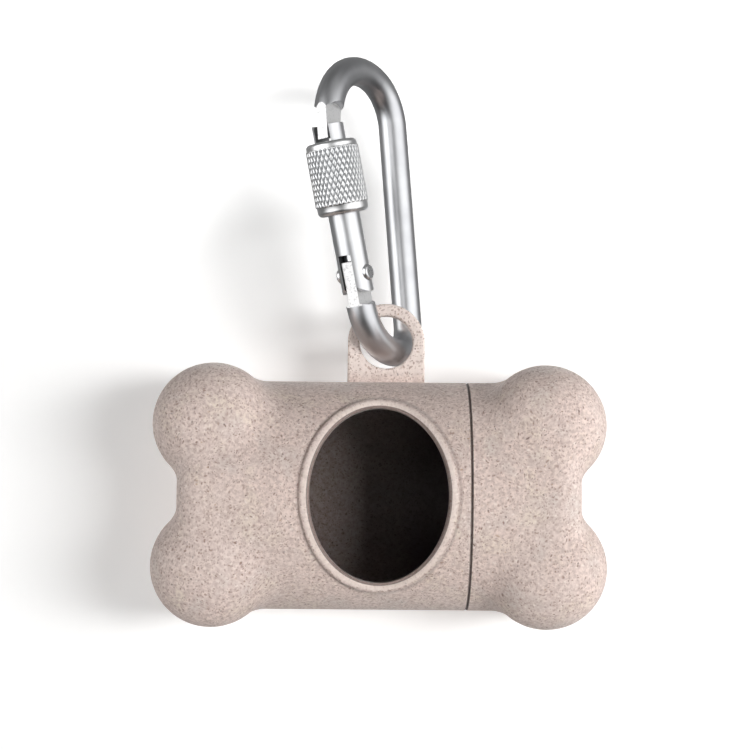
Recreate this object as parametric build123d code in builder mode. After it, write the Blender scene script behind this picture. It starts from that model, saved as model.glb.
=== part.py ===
from build123d import *
from math import cos, radians, sin, sqrt
import os

# Bone-shaped bag dispenser that hangs from a screw-lock carabiner.
# Millimetres. +X runs along the bone, -Y is the side with the window, +Z is up.
# The origin is the inside of the carabiner's top bow, where a ring or a strap bears.

# ---------------------------------------------------------------- bone: outside
bone_length = 81.6          # over the tips of the lobes
barrel_radius = 21.1
lobe_radius = 10.9          # seen from the front
lobe_inset = 8.35           # lobe axis inside the barrel's top and bottom lines
lobe_depth = 20.5           # lobe half depth, along Y
lobe_edge_radius = 9.5
lobe_blend_radius = 6.5     # hollow between lobe and barrel
end_recess = 5.1            # the end face lies this far inside the lobe tips
end_edge_radius = 5.0

# ---------------------------------------------------------------- bone: inside
barrel_wall = 2.4
end_wall = 3.0
bore_end_radius = 4.0

# ---------------------------------------------------------------- cap joint
seam_x = 16.1               # shoulder of the barrel, from the bone's middle
seam_gap = 0.12
seam_chamfer = 0.2
neck_length = 4.2
neck_wall = 1.15
neck_clearance = 0.10       # radial, between the neck and the cap's socket
neck_end_gap = 0.4

# ---------------------------------------------------------------- window
window_width = 24.4
window_height = 31.0
window_rim_width = 1.9
window_rim_height = 0.7
window_rim_round = 0.8

# ---------------------------------------------------------------- eye tab
eye_x = 1.15
eye_lift = 2.55             # lowest point of the hole above the barrel
eye_wall = 2.25
eye_slack = 2.25            # radial, about the carabiner's bar
eye_thickness = 2.8
eye_edge_radius = 0.5

# ---------------------------------------------------------------- carabiner frame
bar_radius = 2.7
spine_length = 39.0
top_spine_radius = 8.9      # bend next to the spine
top_spine_turn = 70.0
top_nose_radius = 12.8      # bend that ends in the nose
bottom_spine_radius = 5.1
bottom_spine_turn = 83.0
gate_slant = 12.0           # between gate and spine
carabiner_twist = 58.0      # of the D's plane, away from the bone's plane
carabiner_lean_x = 4.7      # of the spine, top to the left
carabiner_lean_y = 1.0      # of the spine, top to the back
spine_foot_from_eye = (4.15, 7.5, 3.7)      # foot of the spine, from the middle of the eye's hole

# ---------------------------------------------------------------- nose and hinge tongues
nose_to_rivet = 24.5        # bar end to rivet, along the gate
nose_trim = 0.7             # cut off the bar end to square the tongue's tip
nose_tongue_thickness = 2.1
nose_cutter_radius = 4.1
nose_cutter_offset = 0.9
nose_shoulder_gap = 3.9     # above the gate's top
hinge_tongue_thickness = 2.25
hinge_tongue_top = 2.4
hinge_shoulder_gap = 2.4    # round the gate's foot
outer_flat_depth = 0.55     # milled off the outside of the bar at both tongues
outer_flat_length = 10.0
nose_flat_turn = 12.8       # middle of the flat, round the bend from the bar's end
hinge_flat_end_radius = 1.7

# ---------------------------------------------------------------- gate
gate_radius = 2.9
gate_overlap = 2.4          # gate's top above the nose tongue's tip
gate_foot_step = 0.6        # rounding of the fork about the rivet, beyond the gate's radius
nose_slot_play = 0.6        # each side of the nose tongue
nose_slot_depth = 5.4
hinge_slot_play = 0.175     # each side of the hinge tongue
hinge_slot_lift = 1.3       # slot's top above the hinge tongue

# ---------------------------------------------------------------- rivet
rivet_radius = 1.1
rivet_head_step = 0.35      # head beyond the shank, radial
rivet_head_sink = 0.35      # head's seat below the gate's side
rivet_head_height = 0.8
rivet_head_round = 0.45
rivet_running_fit = 0.05
rivet_press_gap = 0.01
rivet_spot_gap = 0.05

# ---------------------------------------------------------------- lock sleeve
sleeve_wall = 1.95
sleeve_length = 13.3
sleeve_drop = 3.1           # sleeve's top below the gate's top
sleeve_running_fit = 0.06
sleeve_mouth_step = 0.6     # mouth beyond the gate's radius
sleeve_mouth_depth = 5.2
sleeve_edge_radius = 0.9

# ---------------------------------------------------------------- plunger and spring
spring_bore_radius = 1.45
spring_room = 10.3          # length of the bore above the hinge slot
plunger_gap = 0.1           # to the hinge tongue
plunger_fit = 0.08
plunger_head_length = 3.1
plunger_stem_radius = 0.5
plunger_stem_length = 2.2
spring_foot_gap = 0.05      # to the plunger's head
spring_wire_radius = 0.17
spring_turns = 8
spring_seat_gap = 0.05

# ================================================================ sizes that follow
lobe_spread = barrel_radius - lobe_inset        # lobe axis above and below the barrel axis
bore_radius = barrel_radius - barrel_wall
neck_outer_radius = bore_radius + neck_wall
eye_hole_radius = bar_radius + eye_slack
eye_outer_radius = eye_hole_radius + eye_wall
eye_height = barrel_radius + eye_lift + eye_hole_radius     # hole's middle above the barrel axis

# Along the gate, all from the rivet.
nose_tip_height = nose_to_rivet + nose_trim
gate_top = nose_tip_height + gate_overlap
nose_shoulder_height = gate_top + nose_shoulder_gap
nose_cutter_height = nose_shoulder_height - nose_cutter_radius
sleeve_foot = gate_top - sleeve_drop - sleeve_length
hinge_slot_top = hinge_tongue_top + hinge_slot_lift
spring_bore_top = hinge_slot_top + spring_room

# Across the gate.
gate_foot_radius = gate_radius + gate_foot_step
hinge_shoulder_radius = gate_foot_radius + hinge_shoulder_gap
nose_slot_width = nose_tongue_thickness + 2 * nose_slot_play
hinge_slot_width = hinge_tongue_thickness + 2 * hinge_slot_play
rivet_head_radius = rivet_radius + rivet_head_step
rivet_head_seat = gate_radius - rivet_head_sink             # from the middle plane
sleeve_bore_radius = gate_radius + sleeve_running_fit
sleeve_radius = gate_radius + sleeve_wall
sleeve_mouth_radius = gate_radius + sleeve_mouth_step

# ================================================================ places
# The D is drawn in its own plane: across the D towards the spine, and up along the spine.
spine_up = Vector(
    -sin(radians(carabiner_lean_x)),
    sin(radians(carabiner_lean_y)),
    sqrt(1 - sin(radians(carabiner_lean_x)) ** 2 - sin(radians(carabiner_lean_y)) ** 2),
)
across_level = Vector(cos(radians(carabiner_twist)), sin(radians(carabiner_twist)), 0)
d_normal = across_level.cross(spine_up).normalized()
d_across = spine_up.cross(d_normal)

slant = radians(gate_slant)
gate_up_2d = Vector(-sin(slant), cos(slant))
gate_across_2d = Vector(cos(slant), sin(slant))

# Top bow: two bends, centres on one line, so that they meet without a kink.
top_turn = radians(top_spine_turn)
bend_step = top_spine_radius - top_nose_radius
top_nose_centre = Vector(
    -top_spine_radius + bend_step * cos(top_turn),
    spine_length + bend_step * sin(top_turn),
)
nose_end = top_nose_centre - gate_across_2d * top_nose_radius
hang_point_2d = top_nose_centre + Vector(0, top_nose_radius - bar_radius)

# Bottom bow: the second bend has the radius that ends it on the gate's line.
bottom_turn = radians(bottom_spine_turn)
bottom_mid = Vector(bottom_spine_radius * (cos(bottom_turn) - 1), -bottom_spine_radius * sin(bottom_turn))
heading_in = -radians(90) - bottom_turn
heading_out = radians(90) + slant
bow_step = Vector(sin(heading_in) - sin(heading_out), cos(heading_out) - cos(heading_in))
bottom_hinge_radius = (nose_end - bottom_mid).cross(gate_up_2d).Z / bow_step.cross(gate_up_2d).Z
bottom_hinge_turn = 180 - gate_slant - bottom_spine_turn

rivet_2d = nose_end - gate_up_2d * nose_to_rivet

spine_foot = -(d_across * hang_point_2d.X + spine_up * hang_point_2d.Y)
eye_centre = spine_foot - Vector(*spine_foot_from_eye)
bone_centre = eye_centre - Vector(eye_x, 0, eye_height)

d_plane = Plane(origin=spine_foot, x_dir=d_across, z_dir=d_normal)
rivet_point = d_plane.from_local_coords(rivet_2d)
gate_across = d_across * gate_across_2d.X + spine_up * gate_across_2d.Y
gate_up = d_across * gate_up_2d.X + spine_up * gate_up_2d.Y

# Gate planes, all through the rivet: side view of the gate, and square to the gate.
gate_side = Plane(origin=rivet_point, x_dir=gate_across, z_dir=d_normal)
gate_cross = Plane(origin=rivet_point, x_dir=gate_across, z_dir=gate_up)

# Flats on the outside of the bar: on the nose bend, and on the straight bar at the hinge.
nose_bend_middle = rivet_point + gate_up * nose_to_rivet + gate_across * top_nose_radius
nose_outward = gate_up * sin(radians(nose_flat_turn)) - gate_across * cos(radians(nose_flat_turn))
nose_flat = Plane(
    origin=nose_bend_middle + nose_outward * (top_nose_radius + bar_radius - outer_flat_depth),
    x_dir=d_normal,
    z_dir=nose_outward,
)
hinge_flat = Plane(
    origin=rivet_point - gate_across * (bar_radius - outer_flat_depth),
    x_dir=-d_normal,
    z_dir=-gate_across,
)

# Bone planes: square to the barrel, and seen from the window side.
bone_cross = Plane(origin=bone_centre, x_dir=(0, 1, 0), z_dir=(1, 0, 0))
bone_front = Plane(origin=bone_centre, x_dir=(1, 0, 0), z_dir=(0, -1, 0))

lobe_x = bone_length / 2 - lobe_radius
end_x = bone_length / 2 - end_recess
bore_end_x = end_x - end_wall


# ================================================================ bone ends
def bone_half(side, start_x):
    """Barrel from start_x to the bone's end on one side, with its two lobes. Solid."""
    outward = bone_cross if side > 0 else Plane(origin=bone_centre, x_dir=(0, 1, 0), z_dir=(-1, 0, 0))
    with BuildPart() as half:
        with BuildSketch(outward.offset(start_x)):
            Circle(barrel_radius)
        extrude(amount=end_x - start_x)
        fillet(half.faces().sort_by(Axis.X)[-1 if side > 0 else 0].edges(), end_edge_radius)
        barrel = half.part
        lobes = []
        for spread in (-lobe_spread, lobe_spread):
            centre = bone_centre + Vector(side * lobe_x, 0, spread)
            with BuildSketch(Plane(origin=centre)):
                lobe = Rectangle(lobe_radius, 2 * lobe_depth, align=(Align.MIN, Align.CENTER))
                fillet(lobe.vertices().group_by(Axis.X)[-1], lobe_edge_radius)
            lobes.append(revolve(axis=Axis(centre, (0, 1, 0)), mode=Mode.PRIVATE))
        add(lobes)
        fillet(new_edges(barrel, *lobes, combined=half.part), lobe_blend_radius)
    return half.part


def bore(side, start_x):
    """Roll chamber from start_x to its rounded blind end on one side."""
    outward = bone_cross if side > 0 else Plane(origin=bone_centre, x_dir=(0, 1, 0), z_dir=(-1, 0, 0))
    with BuildPart() as room:
        with BuildSketch(outward.offset(start_x)):
            Circle(bore_radius)
        extrude(amount=bore_end_x - start_x)
        fillet(room.faces().sort_by(Axis.X)[-1 if side > 0 else 0].edges(), bore_end_radius)
    return room.part


# ================================================================ dispenser body
left_half = bone_half(-1, -seam_x)
left_bore = bore(-1, -seam_x - neck_length)

with BuildPart() as eye_tab:
    with BuildSketch(bone_front.offset(-eye_thickness / 2)):
        with Locations((eye_x, eye_height)):
            Circle(eye_outer_radius)
        with Locations((eye_x, eye_height / 2)):
            Rectangle(2 * eye_outer_radius, eye_height)
        with Locations((eye_x, eye_height)):
            Circle(eye_hole_radius, mode=Mode.SUBTRACT)
    extrude(amount=eye_thickness)
    fillet(eye_tab.edges().filter_by(Axis.Y, reverse=True), eye_edge_radius)

# Rim of the window: a bead with both edges rounded, that follows the barrel.
with BuildPart() as window_rim:
    with BuildSketch(bone_cross.offset(-window_width)):
        Circle(barrel_radius + window_rim_height)
    extrude(amount=2 * window_width)
    with BuildSketch(bone_front):
        Ellipse(window_width / 2 + window_rim_width, window_height / 2 + window_rim_width)
        Ellipse(window_width / 2, window_height / 2, mode=Mode.SUBTRACT)
    extrude(amount=2 * barrel_radius, mode=Mode.INTERSECT)
    fillet(window_rim.faces().filter_by(GeomType.CYLINDER).edges(), window_rim_round)

with BuildPart() as dispenser_body:
    add(left_half)
    chamfer(dispenser_body.faces().sort_by(Axis.X)[-1].edges(), seam_chamfer)
    # Neck for the cap.
    with BuildSketch(bone_cross.offset(seam_x)):
        Circle(neck_outer_radius)
    extrude(amount=neck_length)
    add(window_rim.part)
    add(eye_tab.part)
    # Roll chamber and window.
    add(left_bore, mode=Mode.SUBTRACT)
    with BuildSketch(bone_front):
        Ellipse(window_width / 2, window_height / 2)
    extrude(amount=2 * barrel_radius, mode=Mode.SUBTRACT)
dispenser_body.part.label = "dispenser_body"

# ================================================================ end cap
right_half = bone_half(1, seam_x + seam_gap)
right_bore = bore(1, seam_x)

with BuildPart() as end_cap:
    add(right_half)
    chamfer(end_cap.faces().sort_by(Axis.X)[0].edges(), seam_chamfer)
    with BuildSketch(bone_cross.offset(seam_x)):
        Circle(neck_outer_radius + neck_clearance)
    extrude(amount=neck_length + neck_end_gap, mode=Mode.SUBTRACT)
    add(right_bore, mode=Mode.SUBTRACT)
end_cap.part.label = "end_cap"

# ================================================================ carabiner frame
with BuildLine() as bar_outline:
    hinge_bar = Line(rivet_2d + gate_up_2d * hinge_tongue_top, bottom_mid + bow_step * bottom_hinge_radius)
    hinge_bend = JernArc(hinge_bar @ 1, hinge_bar % 1, bottom_hinge_radius, bottom_hinge_turn)
    bottom_bend = JernArc(hinge_bend @ 1, hinge_bend % 1, bottom_spine_radius, bottom_spine_turn)
    spine = Line(bottom_bend @ 1, (0, spine_length))
    top_bend = JernArc(spine @ 1, spine % 1, top_spine_radius, top_spine_turn)
    JernArc(top_bend @ 1, top_bend % 1, top_nose_radius, 180 + gate_slant - top_spine_turn)
bar_path = bar_outline.line.moved(d_plane.location)

with BuildPart() as carabiner_frame:
    with BuildSketch(Plane(origin=bar_path @ 0, z_dir=bar_path % 0)):
        Circle(bar_radius)
    sweep(path=bar_path)
    for side in (-1, 1):
        # Nose tongue: both flanks milled flat, with a round shoulder where the cutter stopped.
        with BuildSketch(gate_side.offset(side * nose_tongue_thickness / 2)):
            with Locations((nose_cutter_offset, nose_cutter_height)):
                Circle(nose_cutter_radius)
            with Locations((nose_cutter_offset, nose_tip_height)):
                Rectangle(2 * nose_cutter_radius, 2 * (nose_cutter_height - nose_tip_height))
        extrude(amount=side * 2 * bar_radius, mode=Mode.SUBTRACT)
        # Hinge tongue: the same, round about the rivet to clear the gate's fork.
        with BuildSketch(gate_side.offset(side * hinge_tongue_thickness / 2)):
            Circle(hinge_shoulder_radius)
        extrude(amount=side * 2 * bar_radius, mode=Mode.SUBTRACT)
    # Outer flat of the nose tongue: it runs out on the bend, so its end is round.
    with BuildSketch(nose_flat):
        Rectangle(2 * bar_radius, outer_flat_length)
    extrude(amount=2 * bar_radius, mode=Mode.SUBTRACT)
    # Outer flat of the hinge tongue, with a round end next to the shoulder. Up the gate is +Y here.
    with BuildSketch(hinge_flat):
        with Locations((0, hinge_flat_end_radius - hinge_shoulder_radius)):
            Circle(hinge_flat_end_radius)
        with Locations((0, hinge_flat_end_radius - hinge_shoulder_radius + outer_flat_length / 2)):
            Rectangle(2 * hinge_flat_end_radius, outer_flat_length)
    extrude(amount=2 * outer_flat_depth, mode=Mode.SUBTRACT)
    # Nose tip, cut square.
    with BuildSketch(gate_cross.offset(nose_tip_height)):
        Circle(2 * bar_radius)
    extrude(amount=-2 * nose_trim, mode=Mode.SUBTRACT)
    # Rivet hole.
    with BuildSketch(gate_side.offset(-bar_radius)):
        Circle(rivet_radius + rivet_running_fit)
    extrude(amount=2 * bar_radius, mode=Mode.SUBTRACT)
carabiner_frame.part.label = "carabiner_frame"

# ================================================================ gate
with BuildPart() as gate:
    with BuildSketch(gate_cross.offset(-gate_foot_radius)):
        Circle(gate_radius)
    extrude(amount=gate_foot_radius + gate_top)
    # Fork end, round about the rivet.
    with BuildSketch(gate_side.offset(-gate_radius)):
        with Locations((0, -gate_foot_radius / 2)):
            Rectangle(2 * gate_radius, gate_foot_radius)
        Circle(gate_foot_radius, mode=Mode.SUBTRACT)
    extrude(amount=2 * gate_radius, mode=Mode.SUBTRACT)
    # Slot over the hinge tongue, and slot that takes the nose tongue.
    with BuildSketch(gate_side.offset(-hinge_slot_width / 2)):
        with Locations((0, (hinge_slot_top - 2 * gate_foot_radius) / 2)):
            Rectangle(4 * gate_radius, hinge_slot_top + 2 * gate_foot_radius)
    extrude(amount=hinge_slot_width, mode=Mode.SUBTRACT)
    with BuildSketch(gate_side.offset(-nose_slot_width / 2)):
        with Locations((0, gate_top)):
            Rectangle(4 * gate_radius, 2 * nose_slot_depth)
    extrude(amount=nose_slot_width, mode=Mode.SUBTRACT)
    # Spring bore, drilled from the hinge slot.
    with BuildSketch(gate_cross):
        Circle(spring_bore_radius)
    extrude(amount=spring_bore_top, mode=Mode.SUBTRACT)
    # Rivet hole and the spot faces under its heads.
    with BuildSketch(gate_side.offset(-gate_radius)):
        Circle(rivet_radius + rivet_press_gap)
    extrude(amount=2 * gate_radius, mode=Mode.SUBTRACT)
    for side in (-1, 1):
        with BuildSketch(gate_side.offset(side * rivet_head_seat)):
            Circle(rivet_head_radius + rivet_spot_gap)
        extrude(amount=side * gate_radius, mode=Mode.SUBTRACT)
gate.part.label = "gate"

# ================================================================ rivet
with BuildPart() as gate_rivet:
    with BuildSketch(gate_side.offset(-rivet_head_seat)):
        Circle(rivet_radius)
    extrude(amount=2 * rivet_head_seat)
    for side in (-1, 1):
        with BuildSketch(gate_side.offset(side * rivet_head_seat)):
            Circle(rivet_head_radius)
        head = extrude(amount=side * rivet_head_height)
        head_top = gate_rivet.faces().sort_by(Axis(rivet_point, d_normal))[-1 if side > 0 else 0]
        fillet(head_top.edges(), rivet_head_round)
gate_rivet.part.label = "gate_rivet"

# ================================================================ lock sleeve
with BuildPart() as lock_sleeve:
    with BuildSketch(gate_cross.offset(sleeve_foot)):
        Circle(sleeve_radius)
    extrude(amount=sleeve_length)
    fillet(lock_sleeve.edges().filter_by(GeomType.CIRCLE), sleeve_edge_radius)
    with BuildSketch(gate_cross.offset(sleeve_foot)):
        Circle(sleeve_bore_radius)
    extrude(amount=sleeve_length, mode=Mode.SUBTRACT)
    with BuildSketch(gate_cross.offset(sleeve_foot + sleeve_length)):
        Circle(sleeve_mouth_radius)
    extrude(amount=-sleeve_mouth_depth, mode=Mode.SUBTRACT)
lock_sleeve.part.label = "lock_sleeve"

# ================================================================ plunger and spring
plunger_foot = hinge_tongue_top + plunger_gap
plunger_head_top = plunger_foot + plunger_head_length
with BuildPart() as spring_plunger:
    with BuildSketch(gate_cross.offset(plunger_foot)):
        Circle(spring_bore_radius - plunger_fit)
    extrude(amount=plunger_head_length)
    with BuildSketch(gate_cross.offset(plunger_head_top)):
        Circle(plunger_stem_radius)
    extrude(amount=plunger_stem_length)
spring_plunger.part.label = "spring_plunger"

spring_foot = plunger_head_top + spring_foot_gap + spring_wire_radius
spring_height = spring_bore_top - spring_seat_gap - spring_wire_radius - spring_foot
spring_mean_radius = (spring_bore_radius + plunger_stem_radius) / 2
with BuildLine() as spring_outline:
    Helix(pitch=spring_height / spring_turns, height=spring_height, radius=spring_mean_radius)
spring_path = spring_outline.line.moved(gate_cross.offset(spring_foot).location)
with BuildPart() as gate_spring:
    with BuildSketch(Plane(origin=spring_path @ 0, z_dir=spring_path % 0)):
        Circle(spring_wire_radius)
    sweep(path=spring_path)
gate_spring.part.label = "gate_spring"

# ================================================================ files
pieces = (
    dispenser_body,
    end_cap,
    carabiner_frame,
    gate,
    gate_rivet,
    lock_sleeve,
    spring_plunger,
    gate_spring,
)
os.makedirs("parts", exist_ok=True)
for piece in pieces:
    export_step(piece.part, f"parts/{piece.part.label}.step")
    print(piece.part.label, round(piece.part.volume, 1), "mm3")


def place(point):
    """A place in the part's frame, in millimetres."""
    return tuple(round(value, 3) for value in point)


print("bone centre", place(bone_centre))
print("rivet", place(rivet_point), "gate up", place(gate_up), "normal", place(d_normal))
print("bottom bend at the hinge", round(bottom_hinge_radius, 3), "mm")
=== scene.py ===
import math
from collections import namedtuple

import bmesh
import bpy
from mathutils import Matrix, Vector


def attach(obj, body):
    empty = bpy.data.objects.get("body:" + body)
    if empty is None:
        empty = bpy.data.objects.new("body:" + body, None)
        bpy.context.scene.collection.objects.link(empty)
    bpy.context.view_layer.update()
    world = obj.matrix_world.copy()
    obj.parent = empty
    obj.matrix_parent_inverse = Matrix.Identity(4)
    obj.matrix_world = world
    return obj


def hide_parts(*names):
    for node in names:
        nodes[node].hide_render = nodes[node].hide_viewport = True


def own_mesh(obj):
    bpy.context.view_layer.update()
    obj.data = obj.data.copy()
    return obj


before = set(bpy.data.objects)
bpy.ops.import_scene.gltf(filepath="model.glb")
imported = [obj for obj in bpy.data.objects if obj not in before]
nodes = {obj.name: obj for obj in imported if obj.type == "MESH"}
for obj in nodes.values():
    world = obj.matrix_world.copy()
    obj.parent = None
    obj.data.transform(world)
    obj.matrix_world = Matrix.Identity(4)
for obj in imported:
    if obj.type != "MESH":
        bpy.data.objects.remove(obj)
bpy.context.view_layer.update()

MM = 0.001

# ---------------------------------------------------------------- places, in metres, in the frame's axes
BONE = Vector((3.824, 0.395, -77.283)) * MM         # middle of the barrel
RIVET = Vector((-0.910, -6.945, -36.809)) * MM      # middle of the gate's rivet
GATE_UP = Vector((-0.18988174, -0.15942424, 0.96877698)).normalized()
D_NORMAL = Vector((0.84541316, -0.52827277, 0.07876843)).normalized()
GATE_ACROSS = D_NORMAL.cross(GATE_UP).normalized()  # away from the spine

# Local x across the D, y along its normal, z up the gate; origin at the rivet.
GATE_FRAME = Matrix((
    (GATE_ACROSS.x, D_NORMAL.x, GATE_UP.x, RIVET.x),
    (GATE_ACROSS.y, D_NORMAL.y, GATE_UP.y, RIVET.y),
    (GATE_ACROSS.z, D_NORMAL.z, GATE_UP.z, RIVET.z),
    (0, 0, 0, 1),
))


def rgb(red, green, blue):
    """A linear colour from sRGB bytes."""
    def linear(value):
        value /= 255
        return value / 12.92 if value <= 0.04045 else ((value + 0.055) / 1.055) ** 2.4
    return (linear(red), linear(green), linear(blue), 1.0)


# ---------------------------------------------------------------- node helpers
class Tree:
    """The node tree of a material or world, written briefly. An input is a number, a colour or a socket."""

    def __init__(self, owner, output):
        owner.use_nodes = True
        self.owner = owner
        self.nodes = owner.node_tree.nodes
        self.links = owner.node_tree.links
        self.nodes.clear()
        self.output = self.nodes.new(output)
        self.coords = self.nodes.new("ShaderNodeTexCoord").outputs

    def add(self, kind, inputs=None, **settings):
        node = self.nodes.new(kind)
        for key, value in settings.items():
            setattr(node, key, value)
        for key, value in (inputs or {}).items():
            socket = node.inputs[key]
            if isinstance(value, bpy.types.NodeSocket):
                self.links.new(value, socket)
            else:
                socket.default_value = value
        return node

    def surface(self, shader):
        """Sends a shader to the output, and gives back the tree's material or world."""
        self.links.new(shader, self.output.inputs["Surface"])
        return self.owner

    def math(self, operation, a, b=0.0, c=0.0, clamp=False):
        node = self.add("ShaderNodeMath", {0: a, 1: b, 2: c}, operation=operation, use_clamp=clamp)
        return node.outputs[0]

    def vector(self, operation, a, b=(0.0, 0.0, 0.0), c=(0.0, 0.0, 0.0)):
        return self.add("ShaderNodeVectorMath", {0: a, 1: b, 2: c}, operation=operation).outputs[0]

    def dot(self, a, b):
        node = self.add("ShaderNodeVectorMath", {0: a, 1: tuple(b)}, operation="DOT_PRODUCT")
        return node.outputs["Value"]

    def length(self, a):
        return self.add("ShaderNodeVectorMath", {0: a}, operation="LENGTH").outputs["Value"]

    def split(self, a):
        return self.add("ShaderNodeSeparateXYZ", {"Vector": a}).outputs

    def join(self, x=0.0, y=0.0, z=0.0):
        return self.add("ShaderNodeCombineXYZ", {"X": x, "Y": y, "Z": z}).outputs[0]

    def noise(self, place, scale, detail=2.0, roughness=0.5):
        return self.add(
            "ShaderNodeTexNoise",
            {"Vector": place, "Scale": scale, "Detail": detail, "Roughness": roughness},
        ).outputs["Fac"]

    def ramp(self, value, low, high, out_low=0.0, out_high=1.0):
        """Smooth step from out_low at low to out_high at high."""
        return self.add(
            "ShaderNodeMapRange",
            {"Value": value, "From Min": low, "From Max": high, "To Min": out_low, "To Max": out_high},
            interpolation_type="SMOOTHSTEP",
        ).outputs["Result"]

    def both(self, *masks):
        """The product of some masks."""
        product = masks[0]
        for mask in masks[1:]:
            product = self.math("MULTIPLY", product, mask)
        return product

    def band(self, value, low, high, soft):
        """1 between low and high, with edges soft wide."""
        return self.both(self.ramp(value, low - soft, low), self.ramp(value, high + soft, high))

    def toward(self, mask, a, b):
        """A number that goes from a to b as the mask goes from 0 to 1."""
        return self.math("ADD", a, self.math("MULTIPLY", mask, self.math("SUBTRACT", b, a)))

    def mix(self, mask, a, b):
        """A colour that goes from a to b as the mask goes from 0 to 1."""
        return self.add("ShaderNodeMix", {0: mask, 6: a, 7: b}, data_type="RGBA").outputs[2]

    def stain(self, colour, tint, mask, strength):
        """The colour with a tint laid over it where the mask is 1."""
        return self.mix(self.math("MULTIPLY", mask, strength), colour, tint)

    def bump(self, height, strength, distance, normal=None):
        inputs = {"Height": height, "Strength": strength, "Distance": distance}
        if normal is not None:
            inputs["Normal"] = normal
        return self.add("ShaderNodeBump", inputs).outputs[0]


def material_tree(name):
    return Tree(bpy.data.materials.new(name), "ShaderNodeOutputMaterial")


def thread_relief(t, along, turn, pitch, depth):
    """Height of a screw thread's ridge, in metres."""
    turns = t.math("DIVIDE", turn, 2 * math.pi)
    phase = t.math("FRACT", t.math("ADD", t.math("DIVIDE", along, pitch), turns))
    ridge = t.math("ABSOLUTE", t.math("SUBTRACT", phase, 0.5))
    return t.math("MULTIPLY", ridge, 2 * depth)


# ---------------------------------------------------------------- plastic with plant fibre
# Places are seen from the barrel's middle: x along the bone, z up, radial from the bone's axis.
TAB_LIGHT_HEIGHTS = (21.2 * MM, 23.5 * MM)                # the eye tab's foot, where its painted light starts
CHAMBER_RADII = (19.0 * MM, 18.75 * MM)             # from just outside the chamber's wall to inside it
CHAMBER_ENDS = (33.9 * MM, 33.5 * MM)
CHAMBER_SHADE = (-5.0 * MM, 13.0 * MM, 0.64, 0.95)  # x from, x to, and how strong the painted shade is at each
WINDOW_HALF_WIDTH = 12.2 * MM
WINDOW_HALF_HEIGHT = 15.5 * MM
FRONT = (-0.010, -0.014)                            # y of the barrel's front, where the window is
CREST_BAND = (0.55 * MM, 1.15 * MM, 0.35 * MM)      # distances from the window's edge: from, to, softness
RIM_FOOT_SHADE_BAND = (1.85 * MM, 2.05 * MM, 0.45 * MM)
SLOPE_EDGE = (0.44 * MM, 0.34 * MM)
SLOPE_LINE = (0.38 * MM, 0.44 * MM, 0.08 * MM)
SEAM_BAND = (15.94 * MM, 16.38 * MM, 0.05 * MM)     # x of the seam between barrel and cap
SEAM_RADII = (19.9 * MM, 20.1 * MM)
NECK_BAND = (16.9 * MM, 19.9 * MM, 0.25 * MM)       # x of the barrel's threaded neck
NECK_RADII = (20.2 * MM, 20.0 * MM)
NECK_PITCH = 1.4 * MM
NECK_THREAD_DEPTH = 0.22 * MM
CAP_SEED = 0.13                                     # shifts the cap's texture from the body's

ROSE = rgb(236, 217, 208)
PALE_ROSE = rgb(232, 216, 208)
CREAM = rgb(233, 221, 203)
ASH = rgb(214, 205, 198)
MOTTLE = rgb(204, 184, 176)
TAB_PAINTED_LIGHT = rgb(252, 240, 233)
CHAMBER_PAINTED_SHADE = rgb(42, 31, 34)
CREST_PAINTED_HIGHLIGHT = rgb(240, 226, 217)
RIM_FOOT_PAINTED_SHADE = rgb(112, 96, 92)
SLOPE_PAINTED_SHADE = rgb(118, 98, 93)
SLOPE_LINE_PAINTED_SHADE = rgb(66, 54, 52)
SEAM_DARKENED = rgb(58, 47, 45)

FLECK_BEND_SCALE = 300.0
FLECK_BEND = 0.0022                                 # metres
FLECKS = (
    # cells per metre, size in a cell, share of cells filled, tint, strength, stretch
    (1300.0, 0.27, 0.50, rgb(243, 231, 223), 0.75, (0.8, 1.0, 1.0)),
    (2300.0, 0.36, 0.75, rgb(177, 150, 138), 0.80, (1.0, 1.0, 0.70)),
    (1900.0, 0.33, 0.70, rgb(165, 136, 123), 0.82, (0.70, 0.9, 1.0)),
    (1450.0, 0.24, 0.60, rgb(146, 117, 104), 0.85, (1.0, 0.8, 0.75)),
    (900.0, 0.15, 0.30, rgb(186, 152, 122), 0.75, (0.8, 1.0, 1.0)),
    (760.0, 0.13, 0.50, rgb(106, 80, 71), 0.85, (1.0, 1.0, 0.85)),
)


def plastic_ground(t, place, cloud):
    """Slow drift of tint, cream and ash clouds, then the fine mottle of the fibre filling."""
    drift = t.noise(place, 60.0)
    cream = t.noise(place, 190.0)
    ash = t.noise(t.vector("ADD", place, (0.31, 0.17, 0.23)), 170.0)
    colour = t.mix(t.ramp(drift, 0.35, 0.65), ROSE, PALE_ROSE)
    colour = t.mix(t.ramp(cream, 0.50, 0.72, 0.0, 0.55), colour, CREAM)
    colour = t.mix(t.ramp(ash, 0.50, 0.72, 0.0, 0.60), colour, ASH)
    return t.mix(t.ramp(cloud, 0.30, 0.72), colour, MOTTLE)


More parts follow.
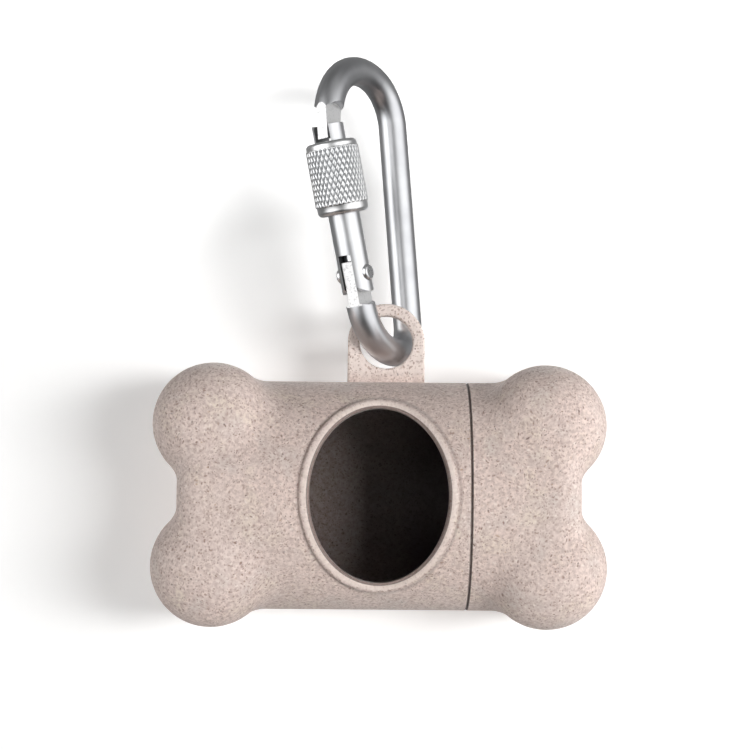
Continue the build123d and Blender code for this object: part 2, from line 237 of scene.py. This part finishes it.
def with_flecks(t, place, colour):
    """Chopped straw: short dashes bent by noise, each in a cell, with only some cells filled."""
    bend = t.add(
        "ShaderNodeTexNoise", {"Vector": place, "Scale": FLECK_BEND_SCALE, "Detail": 1.0}
    ).outputs["Color"]
    away = t.vector("SUBTRACT", bend, (0.5, 0.5, 0.5))
    bent = t.vector("MULTIPLY_ADD", away, (FLECK_BEND, FLECK_BEND, FLECK_BEND), place)
    for scale, size, share, tint, strength, stretch in FLECKS:
        cells = t.add(
            "ShaderNodeTexVoronoi",
            {"Vector": t.vector("MULTIPLY", bent, stretch), "Scale": scale, "Randomness": 1.0},
            feature="F1",
        )
        lot = t.add("ShaderNodeSeparateColor", {"Color": cells.outputs["Color"]})
        filled = t.math("LESS_THAN", lot.outputs["Red"], share)
        reach = t.math("MULTIPLY_ADD", lot.outputs["Green"], size * 0.6, size * 0.65)
        inside = t.math("DIVIDE", cells.outputs["Distance"], reach)
        spot = t.both(t.ramp(inside, 1.15, 0.6), filled)
        depth = t.math("MULTIPLY_ADD", lot.outputs["Blue"], 0.6 * strength, 0.4 * strength)
        colour = t.mix(t.both(spot, depth), colour, tint)
    return colour


def window_distance(t, x, z):
    """Distance outwards from the edge of the window's oval, in metres."""
    shrink = (1 / WINDOW_HALF_WIDTH, 1 / WINDOW_HALF_HEIGHT, 0.0)
    spread = t.vector("MULTIPLY", t.join(x, z), shrink)
    ratio = t.length(spread)
    slope = t.length(t.vector("MULTIPLY", spread, shrink))
    return t.math("DIVIDE", t.math("MULTIPLY", t.math("SUBTRACT", ratio, 1.0), ratio), slope)


def fibre_plastic(name, seed, neck_thread):
    t = material_tree(name)
    place = t.vector("ADD", t.coords["Object"], (seed, 0.4 * seed, -0.7 * seed))
    seen = t.split(t.vector("SUBTRACT", t.coords["Object"], tuple(BONE)))
    x, y, z = seen["X"], seen["Y"], seen["Z"]
    radial = t.length(t.join(0.0, y, z))
    cloud = t.noise(place, 1500.0, 2.0, 0.65)

    # Painted light on the thin tab: it is painted paler from its foot up, under its flecks.
    colour = plastic_ground(t, place, cloud)
    colour = t.mix(t.ramp(z, *TAB_LIGHT_HEIGHTS, 0.0, 0.60), colour, TAB_PAINTED_LIGHT)
    colour = with_flecks(t, place, colour)

    # Painted shade: the chamber's wall is darkened, more so towards +x, for the shade inside the closed
    # chamber.
    within = t.both(t.ramp(radial, *CHAMBER_RADII), t.ramp(t.math("ABSOLUTE", x), *CHAMBER_ENDS))
    colour = t.stain(colour, CHAMBER_PAINTED_SHADE, within, t.ramp(x, *CHAMBER_SHADE))

    # The window's raised rim, with painted light: a painted highlight on the crest, a band of painted shade
    # at the rim's foot outside it, and painted shade on the slope inside it, with a thin darker line of
    # painted shade where it meets the crest.
    ahead = t.ramp(y, *FRONT)
    away = window_distance(t, x, z)
    colour = t.stain(colour, CREST_PAINTED_HIGHLIGHT, t.both(ahead, t.band(away, *CREST_BAND)), 0.60)
    colour = t.stain(colour, RIM_FOOT_PAINTED_SHADE, t.both(ahead, t.band(away, *RIM_FOOT_SHADE_BAND)), 0.30)
    slope = t.both(ahead, t.ramp(away, *SLOPE_EDGE), t.math("SUBTRACT", 1.0, within))
    colour = t.stain(colour, SLOPE_PAINTED_SHADE, slope, 0.72)
    colour = t.stain(colour, SLOPE_LINE_PAINTED_SHADE, t.both(ahead, t.band(away, *SLOPE_LINE)), 0.60)

    # The seam between barrel and cap is painted darker.
    seam = t.both(t.band(x, *SEAM_BAND), t.ramp(radial, *SEAM_RADII))
    colour = t.stain(colour, SEAM_DARKENED, seam, 0.75)

    # The neck's thread, seen when the cap is off, then the moulding's swell and grain.
    neck = t.both(t.band(x, *NECK_BAND), t.ramp(radial, *NECK_RADII))
    thread = thread_relief(t, x, t.math("ARCTAN2", z, y), NECK_PITCH, neck_thread)
    normal = t.bump(t.both(neck, thread), 1.0, 1.0)
    normal = t.bump(t.noise(place, 520.0), 0.10, 0.0002, normal)
    normal = t.bump(t.noise(place, 3600.0, 2.0, 0.6), 0.30, 0.00006, normal)
    shader = t.add("ShaderNodeBsdfPrincipled", {
        "Base Color": colour,
        "Roughness": t.ramp(cloud, 0.3, 0.7, 0.50, 0.66),
        "Normal": normal,
        "Specular IOR Level": 0.40,
        "Sheen Weight": 0.15,
    })
    return t.surface(shader.outputs[0])


# ---------------------------------------------------------------- metals
# Places are seen from the rivet: across the D away from its spine, along its normal, and height up the gate.
TONGUE_SIDES = (1.5 * MM, 1.4 * MM)                 # just outside the tongues' sides, and just inside
TONGUE_HEIGHTS = (-6.3 * MM, 33.0 * MM, 0.2 * MM)   # from, to, softness
HINGE_FLAT_ACROSS = (2.10 * MM, 2.20 * MM, 0.06 * MM)
HINGE_FLAT_HEIGHTS = (-6.3 * MM, 20.0 * MM, 0.2 * MM)
NOSE_FLAT_ACROSS = (-1.0 * MM, 3.2 * MM, 0.3 * MM)
NOSE_FLAT_HEIGHTS = (24.0 * MM, 33.0 * MM, 0.3 * MM)
NOSE_FLAT_TURN = math.radians(12.8)                 # its outward direction's tilt, from across to up the gate
SLOT_SIDES = (1.75 * MM, 1.55 * MM)
THREAD_HEIGHTS = (12.4 * MM, 24.3 * MM, 0.3 * MM)
THREAD_RADII = (2.75 * MM, 2.85 * MM)
THREAD_PITCH = 0.75 * MM
THREAD_DEPTH = 0.13 * MM
GROOVE_RADII = (4.80 * MM, 4.67 * MM)
GROOVE_HEIGHTS = (13.1 * MM, 23.1 * MM, 0.1 * MM)
EDGE_ROUND = 0.12 * MM
METAL_BUMP = 0.05 * MM
SPECK = rgb(112, 112, 114)

Seen = namedtuple("Seen", "across normal height radius facing")
Patch = namedtuple("Patch", "mask tint rough grain")


def seen_from_rivet(t):
    """Where a point of the carabiner is, seen from the rivet, and where its surface faces."""
    offset = t.vector("SUBTRACT", t.coords["Object"], tuple(RIVET))
    across = t.dot(offset, GATE_ACROSS)
    normal = t.dot(offset, D_NORMAL)
    height = t.dot(offset, GATE_UP)
    return Seen(across, normal, height, t.length(t.join(across, normal)), t.coords["Normal"])


def facing(t, seen, direction, low, high):
    """1 where the surface faces along a direction or against it."""
    return t.ramp(t.math("ABSOLUTE", t.dot(seen.facing, direction)), low, high)


def milled_flanks(t, seen):
    """1 on both sides of the tongues at the nose and at the hinge."""
    return t.both(
        facing(t, seen, D_NORMAL, 0.95, 0.985),
        t.ramp(t.math("ABSOLUTE", seen.normal), *TONGUE_SIDES),
        t.band(seen.height, *TONGUE_HEIGHTS),
    )


def hinge_flat(t, seen):
    """1 on the flat outside the hinge tongue."""
    return t.both(
        facing(t, seen, GATE_ACROSS, 0.985, 0.995),
        t.band(seen.across, *HINGE_FLAT_ACROSS),
        t.band(seen.height, *HINGE_FLAT_HEIGHTS),
    )


def nose_flat(t, seen):
    """1 on the flat outside the nose tongue."""
    outward = GATE_UP * math.sin(NOSE_FLAT_TURN) + GATE_ACROSS * math.cos(NOSE_FLAT_TURN)
    return t.both(
        facing(t, seen, outward, 0.985, 0.995),
        t.band(seen.across, *NOSE_FLAT_ACROSS),
        t.band(seen.height, *NOSE_FLAT_HEIGHTS),
    )


def painted_slot_shade(t, seen):
    """1 on the walls of the gate's two slots, which get near-black painted shade."""
    flank = facing(t, seen, D_NORMAL, 0.97, 0.99)
    inner = t.both(flank, t.ramp(t.math("ABSOLUTE", seen.normal), *SLOT_SIDES))
    return t.math("MULTIPLY", inner, 0.85)


def gate_thread(t, seen):
    """Height of the thread that the sleeve runs on."""
    where = t.both(t.band(seen.height, *THREAD_HEIGHTS), t.ramp(seen.radius, *THREAD_RADII))
    turn = t.math("ARCTAN2", seen.normal, seen.across)
    return t.both(where, thread_relief(t, seen.height, turn, THREAD_PITCH, THREAD_DEPTH))


def painted_knurl_groove_shade(t, seen):
    """1 at the bottom of the sleeve's knurl, where the grooves get painted shade."""
    return t.both(t.ramp(seen.radius, *GROOVE_RADII), t.band(seen.height, *GROOVE_HEIGHTS))


def satin_metal(name, low, high, rough_low, rough_high, grain, patches=(), relief=None):
    """Satin aluminium or steel; each patch is a mask with its own tint, roughness and grain."""
    t = material_tree(name)
    coords = t.coords["Object"]
    tone = t.noise(coords, 150.0, 3.0)
    fine = t.noise(coords, 4200.0, 2.0, 0.60)
    scratch = t.noise(t.vector("MULTIPLY", coords, (1.0, 1.0, 0.12)), 5200.0, 2.0, 0.6)
    colour = t.mix(t.ramp(tone, 0.3, 0.7), low, high)
    colour = t.mix(t.ramp(fine, 0.45, 0.80, 0.0, 0.15), colour, low)
    wear = t.math("ADD", t.math("MULTIPLY", fine, 0.6), t.math("MULTIPLY", scratch, 0.4))
    rough = t.ramp(wear, 0.3, 0.7, rough_low, rough_high)
    height = t.math("ADD", fine, t.math("MULTIPLY", scratch, 0.5))
    strength = grain
    seen = seen_from_rivet(t) if patches or relief else None
    for patch in patches:
        mask = patch.mask(t, seen)
        speck = t.ramp(t.noise(coords, 2600.0, 2.0, 0.6), 0.50, 0.70, 0.0, 0.6 * patch.grain)
        colour = t.mix(mask, colour, t.mix(speck, patch.tint, SPECK))
        rough = t.toward(mask, rough, t.ramp(fine, 0.3, 0.7, patch.rough - 0.08, patch.rough + 0.08))
        strength = t.toward(mask, strength, patch.grain)
    normal = t.add("ShaderNodeBevel", {"Radius": EDGE_ROUND}, samples=4).outputs[0]
    if relief:
        normal = t.bump(relief(t, seen), 1.0, 1.0, normal)
    shader = t.add("ShaderNodeBsdfPrincipled", {
        "Base Color": colour,
        "Metallic": 1.0,
        "Roughness": rough,
        "Normal": t.bump(height, strength, METAL_BUMP, normal),
    })
    return t.surface(shader.outputs[0])


def paint(node, material):
    """Puts a material on every slot of a CAD node."""
    slots = nodes[node].data.materials
    if not slots:
        slots.append(material)
    for index in range(len(slots)):
        slots[index] = material


plastic_body = fibre_plastic("fibre_plastic_body", 0.0, NECK_THREAD_DEPTH)
plastic_cap = fibre_plastic("fibre_plastic_cap", CAP_SEED, 0.0)
bar_metal = satin_metal(
    "bar_metal", rgb(208, 209, 212), rgb(224, 225, 227), 0.33, 0.38, 0.03,
    (
        Patch(milled_flanks, rgb(252, 252, 252), 0.55, 0.20),
        Patch(hinge_flat, rgb(250, 250, 250), 0.50, 0.60),
        Patch(nose_flat, rgb(250, 250, 250), 0.50, 0.60),
    ),
)
gate_metal = satin_metal(
    "gate_metal", rgb(222, 223, 225), rgb(236, 237, 238), 0.32, 0.37, 0.02,
    # Painted shade: the gate's slot walls are painted near black.
    (Patch(painted_slot_shade, rgb(28, 28, 29), 0.60, 0.02),), gate_thread,
)
sleeve_metal = satin_metal(
    "sleeve_metal", rgb(242, 243, 244), rgb(252, 252, 252), 0.31, 0.36, 0.03,
    # Painted shade: the knurl's grooves are painted darker.
    (Patch(painted_knurl_groove_shade, rgb(160, 162, 165), 0.50, 0.30),),
)
pin_steel = satin_metal("pin_steel", rgb(224, 225, 227), rgb(240, 240, 241), 0.26, 0.32, 0.02)
spring_steel = satin_metal("spring_steel", rgb(150, 151, 154), rgb(186, 187, 190), 0.25, 0.38, 0.06)

paint("dispenser_body", plastic_body)
paint("end_cap", plastic_cap)
paint("carabiner_frame", bar_metal)
paint("gate", gate_metal)
paint("gate_rivet", pin_steel)
paint("spring_plunger", pin_steel)
paint("gate_spring", spring_steel)


# ---------------------------------------------------------------- meshes around the gate's axis
def skin(bm, rings):
    """Joins each ring of vertices to the next."""
    for lower, upper in zip(rings, rings[1:]):
        for side in range(len(lower)):
            after = (side + 1) % len(lower)
            bm.faces.new((lower[side], lower[after], upper[after], upper[side]))


def gate_piece(name, bm, material):
    """Puts a mesh that was made around the gate's axis in its place. Its ends, if any, stay flat."""
    bmesh.ops.recalc_face_normals(bm, faces=bm.faces)
    bmesh.ops.transform(bm, matrix=GATE_FRAME, verts=bm.verts)
    mesh = bpy.data.meshes.new(name)
    bm.to_mesh(mesh)
    bm.free()
    mesh.materials.append(material)
    for face in mesh.polygons:
        face.use_smooth = len(face.vertices) == 4
    piece = bpy.data.objects.new(name, mesh)
    bpy.context.scene.collection.objects.link(piece)
    return piece


# ---------------------------------------------------------------- lock sleeve with its knurl, in millimetres
SLEEVE_FOOT = 11.2                                  # above the rivet
SLEEVE_LENGTH = 13.3
SLEEVE_RADIUS = 4.85
SLEEVE_BORE = 2.96
SLEEVE_MOUTH = 3.5
SLEEVE_MOUTH_DEPTH = 5.2
MOUTH_STEP = 0.3
BORE_START = 0.6                                    # above the sleeve's foot
BAND_RADIUS = 4.66                                  # of the plain bands below and above the knurl
FOOT_LIP = ((0.25, 0.35), (0.55, 0.05), (0.62, 0.0))        # outwards from the bore, and up from the foot
HEAD_LIP = ((0.30, 0.0), (0.10, -0.06), (0.0, -0.30))       # outwards from the mouth, and up from the head
FOOT_ROUND = 0.85
HEAD_ROUND = 0.75
ROUND_STEPS = 10
KNURL_STARTS = 34
KNURL_AXIAL = 2.05                                  # height of a diamond
KNURL_DEPTH = 0.21
KNURL_FOOT = 1.75                                   # above the sleeve's foot
KNURL_HEAD = 12.05
KNURL_ROWS = 116
KNURL_COLUMNS = KNURL_STARTS * 12
KNURL_MARGIN = 0.16                                 # height of the slope from a band to the knurl
KNURL_RUN_OUT = 0.22                                # height over which the grooves get their full depth
LAND_SHARE = 0.52                                   # of half a pitch
GROOVE_POWER = 0.8                                  # rounds the groove's bottom


def groove(turns):
    """1 in the middle of a groove, 0 on the land; turns is the phase."""
    away = abs((turns % 1.0) - 0.5) * 2.0
    depth = max(0.0, (away - LAND_SHARE) / (1 - LAND_SHARE))
    return depth ** GROOVE_POWER


def rounded_edge(centre_radius, centre_height, radius, start, stop):
    """Points of a quarter round, with its angles in degrees."""
    points = []
    for step in range(ROUND_STEPS + 1):
        angle = math.radians(start + (stop - start) * step / ROUND_STEPS)
        points.append((
            centre_radius + radius * math.cos(angle), centre_height + radius * math.sin(angle), 0.0
        ))
    return points


def sleeve_profile():
    """The sleeve's section: radius, height above its foot, and share of the knurl's depth."""
    profile = [(SLEEVE_BORE + out, up, 0.0) for out, up in FOOT_LIP]
    profile += rounded_edge(BAND_RADIUS - FOOT_ROUND, FOOT_ROUND, FOOT_ROUND, -90, 0)
    profile.append((BAND_RADIUS, KNURL_FOOT - KNURL_MARGIN, 0.0))
    for row in range(KNURL_ROWS + 1):
        height = KNURL_FOOT + (KNURL_HEAD - KNURL_FOOT) * row / KNURL_ROWS
        edge = min(row, KNURL_ROWS - row) / KNURL_ROWS * (KNURL_HEAD - KNURL_FOOT)
        rise = min(1.0, 0.35 + edge / KNURL_MARGIN)
        share = min(1.0, edge / KNURL_RUN_OUT)
        profile.append((BAND_RADIUS + (SLEEVE_RADIUS - BAND_RADIUS) * rise, height, share))
    profile.append((BAND_RADIUS, KNURL_HEAD + KNURL_MARGIN, 0.0))
    profile += rounded_edge(BAND_RADIUS - HEAD_ROUND, SLEEVE_LENGTH - HEAD_ROUND, HEAD_ROUND, 0, 90)
    profile += [(SLEEVE_MOUTH + out, SLEEVE_LENGTH + up, 0.0) for out, up in HEAD_LIP]
    profile.append((SLEEVE_MOUTH, SLEEVE_LENGTH - SLEEVE_MOUTH_DEPTH, 0.0))
    profile.append((SLEEVE_BORE, SLEEVE_LENGTH - SLEEVE_MOUTH_DEPTH - MOUTH_STEP, 0.0))
    profile.append((SLEEVE_BORE, BORE_START, 0.0))
    return profile


def knurled_sleeve():
    bm = bmesh.new()
    rings = []
    for radius, height, share in sleeve_profile():
        climb = height / KNURL_AXIAL
        ring = []
        for column in range(KNURL_COLUMNS):
            around = column / KNURL_COLUMNS
            cut = 0.0
            if share > 0.0:
                cut = KNURL_DEPTH * share * max(
                    groove(around * KNURL_STARTS + climb), groove(around * KNURL_STARTS - climb)
                )
            angle = 2 * math.pi * around
            reach = (radius - cut) * MM
            ring.append(bm.verts.new((
                reach * math.cos(angle), reach * math.sin(angle), (SLEEVE_FOOT + height) * MM
            )))
        rings.append(ring)
    skin(bm, rings + rings[:1])
    sleeve = gate_piece("lock_sleeve_knurled", bm, sleeve_metal)
    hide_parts("lock_sleeve")
    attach(sleeve, "sleeve")


knurled_sleeve()


# ---------------------------------------------------------------- the gate's spring, shortened by the plunger
SPRING_WIRE = 0.17 * MM                             # radius of the wire
SPRING_COIL = 0.975 * MM                            # radius of the wire's middle line
SPRING_TURNS = 8
STEPS_PER_TURN = 32
WIRE_SIDES = 12


def coil_spring():
    heights = [(vertex.co - RIVET).dot(GATE_UP) for vertex in nodes["gate_spring"].data.vertices]
    low, high = min(heights) + SPRING_WIRE, max(heights) - SPRING_WIRE
    steps = SPRING_TURNS * STEPS_PER_TURN
    pitch = (high - low) / (2 * math.pi * SPRING_TURNS)     # height for each radian
    bm = bmesh.new()
    rings = []
    for step in range(steps + 1):
        angle = 2 * math.pi * SPRING_TURNS * step / steps
        outward = Vector((math.cos(angle), math.sin(angle), 0.0))
        middle = outward * SPRING_COIL + Vector((0.0, 0.0, low + pitch * angle))
        run = Vector((
            -SPRING_COIL * math.sin(angle), SPRING_COIL * math.cos(angle), pitch
        )).normalized()
        across = run.cross(outward)
        ring = []
        for side in range(WIRE_SIDES):
            turn = 2 * math.pi * side / WIRE_SIDES
            away = math.cos(turn) * outward + math.sin(turn) * across
            ring.append(bm.verts.new(middle + SPRING_WIRE * away))
        rings.append(ring)
    skin(bm, rings)
    bm.faces.new(rings[0][::-1])
    bm.faces.new(rings[-1])
    spring = gate_piece("coil_spring", bm, spring_steel)
    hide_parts("gate_spring")
    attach(spring, "gate_arm")
    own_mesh(spring)


coil_spring()


# ---------------------------------------------------------------- stage
FLOOR_Z = -0.135
FLOOR_HALF = 4
WALL_Y = 0.0218                                     # just behind the bone
WALL_HALF = 3
WALL_TOP = 3
MATT_WHITE = (0.86, 0.86, 0.855, 1.0)
LIFT_LEAN = -0.4                                    # the backdrop's upper glow starts lower on the left
LIFT_HEIGHTS = (-0.018, -0.002)
SPREAD_REACH = (0.12, 0.55)                         # distance from the middle over which the floor's painted glow grows


def stage_material(name, glow, one_sided, lift, spread):
    """Matt white that glows enough to show white to the camera where it isn't shaded.

    The glow grows by lift above the object and by spread far from it.
    """
    t = material_tree(name)
    path = t.add("ShaderNodeLightPath").outputs
    seen = t.math("MAXIMUM", path["Is Camera Ray"], path["Is Glossy Ray"])
    seen = t.math("MAXIMUM", seen, path["Is Transmission Ray"])
    matt = t.add("ShaderNodeBsdfDiffuse", {"Color": MATT_WHITE})
    place = t.split(t.coords["Object"])
    leftward = t.math("MAXIMUM", t.math("MULTIPLY", place["X"], LIFT_LEAN), 0.0)
    raised = t.math("ADD", place["Z"], leftward)
    away = t.length(t.join(place["X"], place["Y"]))
    # Painted light: more glow above the object, starting lower on the left, which lightens the object's cast
    # shadow there.
    glows = t.math("ADD", glow, t.ramp(raised, *LIFT_HEIGHTS, 0.0, lift))
    glows = t.math("ADD", glows, t.ramp(away, *SPREAD_REACH, 0.0, spread))
    lit = t.add("ShaderNodeEmission", {"Color": (1, 1, 1, 1), "Strength": t.math("MULTIPLY", seen, glows)})
    shown = t.add("ShaderNodeAddShader", {0: matt.outputs[0], 1: lit.outputs[0]}).outputs[0]
    if one_sided:
        clear = t.add("ShaderNodeBsdfTransparent").outputs[0]
        behind = t.add("ShaderNodeNewGeometry").outputs["Backfacing"]
        shown = t.add("ShaderNodeMixShader", {"Fac": behind, 1: shown, 2: clear}).outputs[0]
    return t.surface(shown)


def plane(name, corners, material):
    mesh = bpy.data.meshes.new(name)
    mesh.from_pydata(corners, [], [(0, 1, 2, 3)])
    mesh.materials.append(material)
    made = bpy.data.objects.new(name, mesh)
    bpy.context.scene.collection.objects.link(made)
    return made


floor = plane(
    "floor",
    [
        (-FLOOR_HALF, -FLOOR_HALF, FLOOR_Z), (FLOOR_HALF, -FLOOR_HALF, FLOOR_Z),
        (FLOOR_HALF, FLOOR_HALF, FLOOR_Z), (-FLOOR_HALF, FLOOR_HALF, FLOOR_Z),
    ],
    stage_material("floor_matt", 0.30, False, 0.0, 0.62),
)
wall = plane(
    "backdrop",
    [
        (-WALL_HALF, WALL_Y, FLOOR_Z), (WALL_HALF, WALL_Y, FLOOR_Z),
        (WALL_HALF, WALL_Y, WALL_TOP), (-WALL_HALF, WALL_Y, WALL_TOP),
    ],
    stage_material("backdrop_matt", 0.275, True, 0.32, 0.0),
)
floor.visible_glossy = False
wall.visible_diffuse = False
wall.visible_glossy = False
wall.visible_transmission = False
wall.visible_shadow = False

# ---------------------------------------------------------------- light
LAMP_AIM = Vector((0.0, 0.0, -0.07))
AMBIENT = 0.14
ROOM = ((0, 0, -1), 40, 100, 0.13, 0.03)            # a dim room, a little paler below
PANEL_TOP = ((0, 0, 1), 38, 70, 1.0, 0.20)          # fades the tall panels above and below
PANEL_FOOT = ((0, 0, -1), 42, 76, 1.0, 0.20)


def toward(azimuth, elevation):
    """A direction from the object: azimuth from the camera to the right, both in degrees."""
    a, e = math.radians(azimuth), math.radians(elevation)
    return (math.sin(a) * math.cos(e), -math.cos(a) * math.cos(e), math.sin(e))


PANELS = (
    # direction, inner and outer angle in degrees, level, whether it is a tall panel
    ((0, 1, 0.1), 30, 90, 0.12, False),             # the room behind
    (toward(-50, 4), 14, 48, 1.95, True),
    (toward(54, 2), 18, 58, 1.45, True),
    (toward(30, 55), 8, 34, 0.20, False),           # overhead
)


def lobe(t, direction, inner, outer, low, high):
    """A soft round patch of the studio: high within inner degrees of a direction, low beyond outer."""
    near = t.dot(t.coords["Generated"], Vector(direction).normalized())
    return t.ramp(near, math.cos(math.radians(outer)), math.cos(math.radians(inner)), low, high)


def studio_world():
    """White for the camera, a soft studio for polished surfaces and an even dim light for the rest."""
    t = Tree(bpy.data.worlds.new("studio"), "ShaderNodeOutputWorld")
    path = t.add("ShaderNodeLightPath").outputs
    seen_white = t.math("MAXIMUM", path["Is Camera Ray"], path["Is Transmission Ray"])
    glossy = path["Is Glossy Ray"]
    studio = lobe(t, *ROOM)
    for direction, inner, outer, level, tall in PANELS:
        panel = lobe(t, direction, inner, outer, 0.0, level)
        if tall:
            panel = t.both(panel, lobe(t, *PANEL_TOP), lobe(t, *PANEL_FOOT))
        studio = t.math("ADD", studio, panel)
    for_eye = t.math("MAXIMUM", seen_white, t.math("MULTIPLY", glossy, studio))
    not_seen = t.math("SUBTRACT", 1.0, t.math("MAXIMUM", seen_white, glossy), clamp=True)
    strength = t.math("ADD", for_eye, t.math("MULTIPLY", not_seen, AMBIENT))
    back = t.add("ShaderNodeBackground", {"Color": (1, 1, 1, 1), "Strength": strength})
    return t.surface(back.outputs[0])


def lamp(name, place, size, power):
    light = bpy.data.lights.new(name, "AREA")
    light.shape = "RECTANGLE"
    light.size, light.size_y = size
    light.energy = power
    made = bpy.data.objects.new(name, light)
    made.location = Vector(place)
    made.rotation_euler = (LAMP_AIM - Vector(place)).to_track_quat("-Z", "Y").to_euler()
    made.visible_glossy = False
    bpy.context.scene.collection.objects.link(made)


bpy.context.scene.world = studio_world()
lamp("key", (0.50, -0.80, -0.16), (0.40, 0.40), 14.1)
lamp("fill", (-0.78, -0.53, -0.22), (0.90, 0.90), 3.6)
lamp("rim", (0.90, 0.12, -0.16), (0.50, 0.60), 8.6)
lamp("left_rim", (-0.85, 0.42, -0.10), (0.50, 0.60), 4.0)
lamp("back", (-0.15, 0.88, 0.30), (0.70, 0.70), 6.0)

# ---------------------------------------------------------------- camera
PITCH = math.radians(4.3)
ROLL = math.radians(0.5)
CAMERA_OFFSET = Vector((-0.0009, -0.299, 0.0))      # from the barrel's middle
FOCAL_PIXELS = 1600.0
FRAME_PIXELS = 750.0
SENSOR_WIDTH = 36.0

forward = Vector((0, math.cos(PITCH), math.sin(PITCH)))
right_level = Vector((1, 0, 0))
up_level = right_level.cross(forward)
right = math.cos(ROLL) * right_level + math.sin(ROLL) * up_level
up = math.cos(ROLL) * up_level - math.sin(ROLL) * right_level
eye = BONE + CAMERA_OFFSET
camera_data = bpy.data.cameras.new("camera")
camera_data.sensor_width = SENSOR_WIDTH
camera_data.lens = FOCAL_PIXELS / FRAME_PIXELS * SENSOR_WIDTH
camera_data.clip_start = 0.01
camera_data.clip_end = 20.0
camera = bpy.data.objects.new("camera", camera_data)
camera.matrix_world = Matrix((
    (right.x, up.x, -forward.x, eye.x),
    (right.y, up.y, -forward.y, eye.y),
    (right.z, up.z, -forward.z, eye.z),
    (0, 0, 0, 1),
))
bpy.context.scene.collection.objects.link(camera)
bpy.context.scene.camera = camera
bpy.context.scene.view_settings.view_transform = "Standard"
